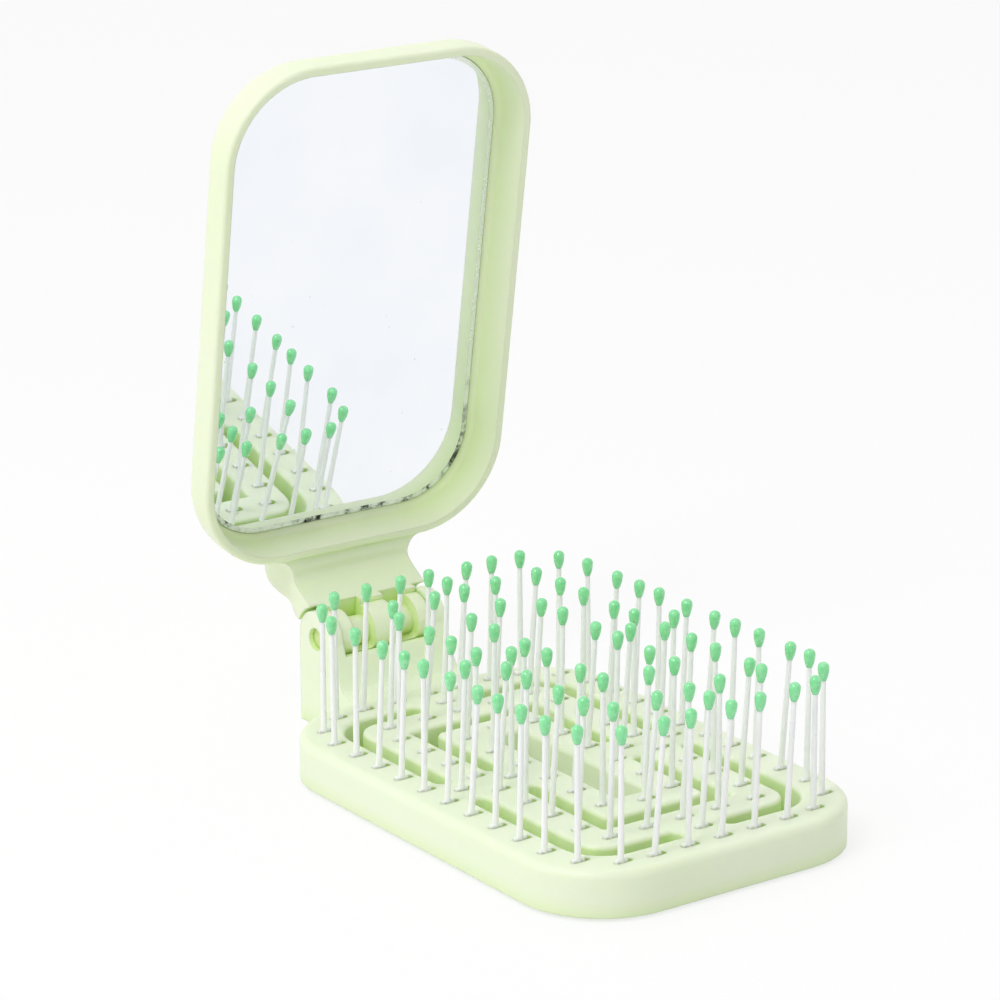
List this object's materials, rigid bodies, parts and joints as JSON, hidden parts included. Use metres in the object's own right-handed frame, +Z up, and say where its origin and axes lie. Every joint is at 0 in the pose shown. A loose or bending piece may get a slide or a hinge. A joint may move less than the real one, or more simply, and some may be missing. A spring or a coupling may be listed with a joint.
{
  "type": "folding hairbrush with mirror",
  "caption": "Folding vented hairbrush with ball-tipped pins and a hinged rectangular mirror lid that stands open or folds down over the pins.",
  "frame": {"origin": "centre of the brush head's flat underside", "axes": "+Z up from the underside through the pins, +Y along the head towards the hinge, +X along the hinge axis"},
  "size_m": [0.0606, 0.1164, 0.1165],
  "materials": {
    "pale_green_plastic": "satin, slightly translucent, pale lime green",
    "clear_white_nylon": "satin, translucent white",
    "green_bead": "glossy medium green",
    "green_pin_plastic": "satin green",
    "mirror_silver": "polished, with a thin dark edge",
    "white_foam": "matte"
  },
  "bodies": {
    "brush": {"brush_shell": "pale_green_plastic", "back_plate": "pale_green_plastic", "pin_strip_outer_left": "clear_white_nylon", "pin_strip_outer_right": "clear_white_nylon", "pin_strip_outer_front": "clear_white_nylon", "pin_strip_outer_rear": "clear_white_nylon", "pin_strip_middle_left": "clear_white_nylon", "pin_strip_middle_right": "clear_white_nylon", "pin_strip_middle_front": "clear_white_nylon", "pin_strip_middle_rear": "clear_white_nylon", "pin_strip_inner_left": "clear_white_nylon", "pin_strip_inner_right": "clear_white_nylon", "pin_tips_outer_left": "green_bead", "pin_tips_outer_right": "green_bead", "pin_tips_outer_front": "green_bead", "pin_tips_outer_rear": "green_bead", "pin_tips_middle_left": "green_bead", "pin_tips_middle_right": "green_bead", "pin_tips_middle_front": "green_bead", "pin_tips_middle_rear": "green_bead", "pin_tips_inner_left": "green_bead", "pin_tips_inner_right": "green_bead", "hinge_pin": "green_pin_plastic"},
    "lid": {"mirror_frame": "pale_green_plastic", "mirror_glass": "mirror_silver", "adhesive_pad": "white_foam"}
  },
  "joints": [
    {"name": "lid_hinge", "type": "hinge", "parent": "brush", "child": "lid", "pos_m": [0, 0.0565, 0.0157], "axis": [-1, 0, 0], "range_deg": [-81, 43.2]}
  ]
}
